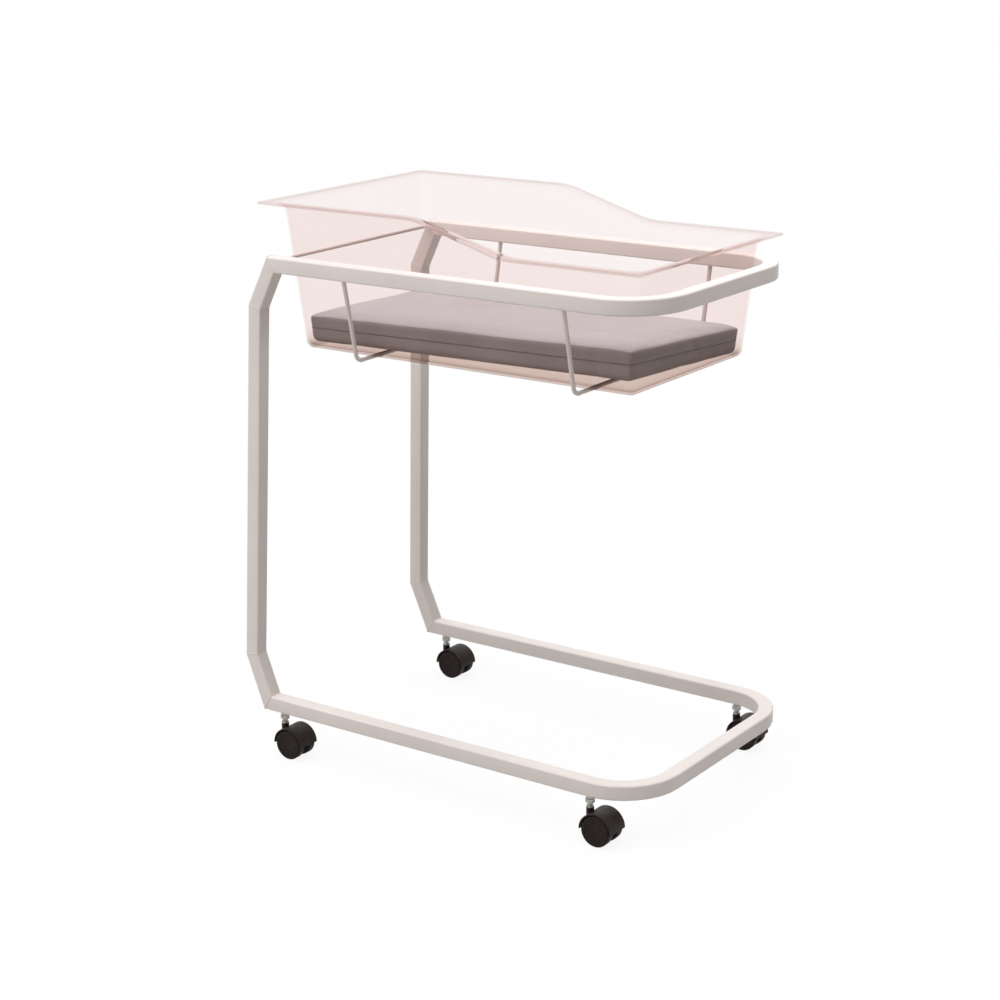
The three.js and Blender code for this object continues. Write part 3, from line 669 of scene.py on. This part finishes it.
def end_fold(x, y, z, foot):
    """Depth of the slanting fold in the foot end."""
    end = np.clip((x - foot + FOLD_REACH) / FOLD_FADE, 0, 1)
    slant = (z - PAD_UNDER - FOLD_Z) + FOLD_SLOPE * (y - FOLD_Y)
    span = np.exp(-((y - FOLD_Y) / FOLD_SPAN) ** 2)
    return FOLD_DEPTH * end * span * np.exp(-(slant / FOLD_WIDTH) ** 2)


def settle(points):
    """Keeps the pad on the floor and inside the tub, lays in the cover's forms and lifts the right side."""
    x, y, z = points.T
    z = np.clip(z, PAD_UNDER, PAD_UNDER + PAD_THICKNESS)
    flare = pad_flare(z)
    head, foot, half = PAD_PLAN["head"] - flare, PAD_PLAN["foot"] + flare, PAD_PLAN["half"] + flare
    x, y = np.clip(x, head, foot), np.clip(y, -half, half)
    top = np.clip((z - PAD_UNDER - PAD_TOP_FROM) / PAD_TOP_FADE, 0, 1)
    z = z + (puckers(x, y, head, foot, half) + dents(x, y)) * top
    x = x - end_fold(x, y, z, foot)
    return np.stack([x, y, z + pad_lift(x, y, z)], axis=1)


def build_mattress():
    points, faces = skin(pad_rings(), False)
    pad = new_piece("mattress_pad", points, faces, "cover", "cover shaded side")
    even_mesh(pad, PAD_VOXEL)
    shape = swell(pad, SWELL_CAP)
    pad.data.vertices.foreach_set("co", settle(shape).ravel())
    pad.data.update()
    # Painted shade: faces that slope away from the top get the darker side copy of the cover.
    for face in pad.data.polygons:
        face.material_index = 0 if face.normal.z > PAD_SHADE_SLOPE else 1
        face.use_smooth = True
    finer = pad.modifiers.new("finer", "SUBSURF")
    finer.levels = 1
    finer.render_levels = 1
    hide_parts("mattress_cover", "mattress_core")
    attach(pad, "mattress")
    return pad


def build_seam(pad):
    """Round bead sewn along the side of the pad, where a level ray from outside meets it."""
    tree = BVHTree.FromObject(pad, bpy.context.evaluated_depsgraph_get())
    radius = SEAM_RADIUS
    rings = []
    for x, y in outline(PAD_PLAN, SEAM_STEPS):
        z = PAD_UNDER + PAD_SEAM
        z += pad_lift(x, y, z)
        spine = min(max(x, PAD_PLAN["head"] + SEAM_AIM), PAD_PLAN["foot"] - SEAM_AIM)
        inward = (Vector((spine, 0.0, z)) - Vector((x, y, z))).normalized()
        hit = tree.ray_cast(Vector((x, y, z)) - inward * SEAM_START, inward)[0]
        centre = hit + inward * radius * SEAM_SUNK
        rings.append([tuple(centre - inward * radius * math.cos(t) + Vector((0, 0, radius * math.sin(t))))
                      for t in whole_turn(SEAM_SIDES)])
    points, faces = skin(rings, True)
    seam = new_piece("mattress_seam", points, faces, "piping")
    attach(seam, "mattress")


# Welds: the beads that close the mitres and hold the wires and the rod, under the same coat as the metal.
# Round a wire or the rod, the first size is the ring's radius and the second the bead's.
MITRE_BEAD = 0.0008
ROD_WELD = (0.0033, 0.0011)
ARM_WELD = (0.0040, 0.0013)
BAR_WELD = (0.0033, 0.0007)
BEAD_SIDES = 8
BEAD_RIPPLE, BEAD_RIPPLE_TURN = 0.10, 1.9
MITRE_STEPS = (12, 12, 4)
RING_STEPS = 20


def bead(path, radius, name, look):
    """A closed bead along a loop of points, with the small ripples of a weld."""
    turns = whole_turn(BEAD_SIDES)
    middle = sum(path, Vector()) / len(path)
    rings = []
    for i, point in enumerate(path):
        along = (path[(i + 1) % len(path)] - path[i - 1]).normalized()
        out = point - middle
        out = (out - along * out.dot(along)).normalized()
        across = along.cross(out)
        size = radius * (1 + BEAD_RIPPLE * math.sin(i * BEAD_RIPPLE_TURN))
        rings.append([tuple(point + (out * math.cos(t) + across * math.sin(t)) * size) for t in turns])
    points, faces = skin(rings, True)
    piece = new_piece(name, points, faces, look)
    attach(piece, "frame")


def side_corners(side):
    """The four corners of a side frame's centre line, from the base rail round the head to the upper rail."""
    edge = [Vector(p) for p in (
        (BASE_FOOT, BASE_UNDER),
        (BASE_HEAD + BASE_ELBOW[0], BASE_UNDER),
        (BASE_HEAD, BASE_UNDER + BASE_ELBOW[1]),
        (RAIL_HEAD, RAIL_TOP - TOP_ELBOW[1]),
        (RAIL_HEAD + TOP_ELBOW[0], RAIL_TOP),
        (RAIL_FOOT, RAIL_TOP),
    )]
    low, high = BASE_UNDER + TUBE / 2, RAIL_TOP - TUBE / 2
    corners = []
    for i in range(1, 5):
        before = (edge[i] - edge[i - 1]).normalized()
        after = (edge[i + 1] - edge[i]).normalized()
        inward = Vector((before.y + after.y, -before.x - after.x)) * (TUBE / 2 / (1 + before.dot(after)))
        x, z = edge[i] + inward
        y = BASE_SIDE + (RAIL_SIDE - BASE_SIDE) * (z - low) / (high - low)
        corners.append(Vector((x, side * y, z)))
    return corners


def mitre_welds(side, label):
    tube = {"head": -TUBE / 2, "foot": TUBE / 2, "half": TUBE / 2, "corner": TUBE_EDGE}
    section = outline(tube, MITRE_STEPS)
    corners = side_corners(side)
    runs = [(b - a).normalized() for a, b in zip(corners, corners[1:])]
    runs = [Vector((-1, 0, 0)), *runs, Vector((1, 0, 0))]
    for i, corner in enumerate(corners):
        along = runs[i]
        normal = (along + runs[i + 1]).normalized()
        out = Vector((0, side, 0))
        out = (out - along * out.dot(along)).normalized()
        across = out.cross(along)
        path = []
        for a, b in section:
            point = corner + out * a + across * b
            path.append(point + along * ((corner - point).dot(normal) / along.dot(normal)))
        bead(path, MITRE_BEAD, f"mitre_weld_{label}_{i + 1}", "frame")


def ring_weld(centre, axis, sizes, name):
    """Bead round a wire or a rod, across its axis."""
    ring, radius = sizes
    first = axis.orthogonal().normalized()
    second = axis.cross(first)
    path = [centre + (first * math.cos(t) + second * math.sin(t)) * ring for t in whole_turn(RING_STEPS)]
    bead(path, radius, name, "wire")


def build_welds():
    rod_low, rod_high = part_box("head_tie_rod")
    rod_middle = (rod_low + rod_high) / 2
    for side, label in ((-1, "right"), (1, "left")):
        mitre_welds(side, label)
        rod_end = Vector((rod_middle.x, side * rod_high.y, rod_middle.z))
        ring_weld(rod_end, Vector((0, 1, 0)), ROD_WELD, f"rod_weld_{label}")
        for end in ("head", "foot"):
            arm_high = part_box(f"{end}_cradle_arm_{label}")[1]
            bar_low, bar_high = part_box(f"{end}_cradle_bar")
            middle = (bar_low + bar_high) / 2
            arm_end = Vector((middle.x, side * RAIL_SIDE, arm_high.z))
            bar_end = Vector((middle.x, side * bar_high.y, middle.z))
            ring_weld(arm_end, Vector((0, 0, 1)), ARM_WELD, f"{end}_arm_weld_{label}")
            ring_weld(bar_end, Vector((0, 1, 0)), BAR_WELD, f"{end}_bar_weld_{label}")


# Stage, light and camera. The viewpoint is the photograph's, fitted to the edges of the rails.
FLOOR_REACH = 30
FLOOR_DROP = 0.0002
FLOOR_SHOWN = 0.9
FLOOR_TONE = (0.50, 0.49, 0.48, 1)
WORLD_TONE = (1.0, 0.97, 0.95, 1)
WORLD_STRENGTH = 0.12
PANEL_SIDE = 2.4
KEY_PLACE = Vector((-1.2, -2.1, 2.2))
KEY_AIM = Vector((0, 0, 0.75))
KEY_POWER = 25
BACK_PLACE = Vector((-0.6, 2.4, 2.0))
BACK_AIM = Vector((0, 0, 0.6))
BACK_POWER = 14
SUN_TOWARD = Vector((0, -0.1, 1))
SUN_SPREAD = math.radians(85)
SUN_STRENGTH = 2.6
PHOTO_YAW, PHOTO_PITCH, PHOTO_ROLL = (math.radians(angle) for angle in (35.107, 16.387, -0.435))
PHOTO_PLACE = (1.9598, -2.8382, 1.4527)
PHOTO_LENS = 79.592
PHOTO_SENSOR = 36


def background_share(tree):
    """1 on rays that show the background: seen, in a gloss or through the sheet, before a matt bounce."""
    path = tree.nodes.new("ShaderNodeLightPath")

    def math_node(operation, first, second):
        node = tree.nodes.new("ShaderNodeMath")
        node.operation = operation
        tree.links.new(first, node.inputs[0])
        if isinstance(second, float):
            node.inputs[1].default_value = second
        else:
            tree.links.new(second, node.inputs[1])
        return node.outputs["Value"]

    total = path.outputs["Is Camera Ray"]
    for name in ("Is Glossy Ray", "Is Transmission Ray"):
        total = math_node("MAXIMUM", total, path.outputs[name])
    direct = math_node("LESS_THAN", path.outputs["Diffuse Depth"], 0.5)
    return math_node("MULTIPLY", total, direct)


def build_floor():
    mesh = bpy.data.meshes.new("floor")
    plan = ((-1, -1), (1, -1), (1, 1), (-1, 1))
    corners = [(x * FLOOR_REACH, y * FLOOR_REACH, -FLOOR_DROP) for x, y in plan]
    mesh.from_pydata(corners, [], [(0, 1, 2, 3)])
    floor = bpy.data.objects.new("floor", mesh)
    scene.collection.objects.link(floor)
    material = bpy.data.materials.new("pale_floor")
    material.use_nodes = True
    tree = material.node_tree
    tree.nodes.clear()
    out = tree.nodes.new("ShaderNodeOutputMaterial")
    matt = tree.nodes.new("ShaderNodeBsdfDiffuse")
    glow = tree.nodes.new("ShaderNodeEmission")
    share = tree.nodes.new("ShaderNodeMath")
    share.operation = "MULTIPLY"
    share.inputs[1].default_value = FLOOR_SHOWN
    tone = tree.nodes.new("ShaderNodeValToRGB")
    tone.color_ramp.elements[0].color = FLOOR_TONE
    tone.color_ramp.elements[1].color = (1, 1, 1, 1)
    mix = tree.nodes.new("ShaderNodeMixShader")
    shown = background_share(tree)
    tree.links.new(shown, share.inputs[0])
    tree.links.new(shown, tone.inputs["Fac"])
    tree.links.new(tone.outputs["Color"], matt.inputs["Color"])
    tree.links.new(share.outputs["Value"], mix.inputs["Fac"])
    tree.links.new(matt.outputs["BSDF"], mix.inputs[1])
    tree.links.new(glow.outputs["Emission"], mix.inputs[2])
    tree.links.new(mix.outputs["Shader"], out.inputs["Surface"])
    mesh.materials.append(material)


def build_world():
    world = bpy.data.worlds.new("studio")
    scene.world = world
    world.use_nodes = True
    tree = world.node_tree
    tree.nodes.clear()
    out = tree.nodes.new("ShaderNodeOutputWorld")
    fill = tree.nodes.new("ShaderNodeBackground")
    fill.inputs["Color"].default_value = WORLD_TONE
    fill.inputs["Strength"].default_value = WORLD_STRENGTH
    white = tree.nodes.new("ShaderNodeBackground")
    white.inputs["Color"].default_value = (1, 1, 1, 1)
    mix = tree.nodes.new("ShaderNodeMixShader")
    tree.links.new(background_share(tree), mix.inputs["Fac"])
    tree.links.new(fill.outputs["Background"], mix.inputs[1])
    tree.links.new(white.outputs["Background"], mix.inputs[2])
    tree.links.new(mix.outputs["Shader"], out.inputs["Surface"])


def lamp(name, kind, toward, power):
    """Soft lamp that shines from the direction toward, and lights only once what the clear sheet covers."""
    data = bpy.data.lights.new(name, kind)
    data.energy = power
    data.cycles.use_multiple_importance_sampling = False
    obj = bpy.data.objects.new(name, data)
    scene.collection.objects.link(obj)
    obj.rotation_mode = "QUATERNION"
    obj.rotation_quaternion = toward.to_track_quat("Z", "Y")
    return obj


def panel(name, place, aim, power):
    """Square lamp that stands at a place and faces the aim."""
    obj = lamp(name, "AREA", place - aim, power)
    obj.location = place
    obj.data.shape = "SQUARE"
    obj.data.size = PANEL_SIDE


def build_lights():
    panel("key", KEY_PLACE, KEY_AIM, KEY_POWER)
    panel("back", BACK_PLACE, BACK_AIM, BACK_POWER)
    top = lamp("top", "SUN", SUN_TOWARD, SUN_STRENGTH)
    top.data.angle = SUN_SPREAD


def build_camera():
    """Turned to the foot, tipped down and rolled a little."""
    level = Vector((math.sin(PHOTO_YAW), -math.cos(PHOTO_YAW), 0))
    back = level * math.cos(PHOTO_PITCH) + Vector((0, 0, math.sin(PHOTO_PITCH)))
    right = Vector((math.cos(PHOTO_YAW), math.sin(PHOTO_YAW), 0))
    up = back.cross(right)
    turned_right = right * math.cos(PHOTO_ROLL) + up * math.sin(PHOTO_ROLL)
    turned_up = up * math.cos(PHOTO_ROLL) - right * math.sin(PHOTO_ROLL)
    data = bpy.data.cameras.new("photo")
    data.sensor_width = PHOTO_SENSOR
    data.lens = PHOTO_LENS
    camera = bpy.data.objects.new("photo", data)
    scene.collection.objects.link(camera)
    matrix = Matrix((turned_right, turned_up, back)).transposed().to_4x4()
    matrix.translation = PHOTO_PLACE
    camera.matrix_world = matrix
    scene.camera = camera


scene.view_settings.view_transform = "Standard"
build_camera()
build_world()
build_floor()
build_lights()
dress_solids()
build_tub()
build_seam(build_mattress())
build_welds()
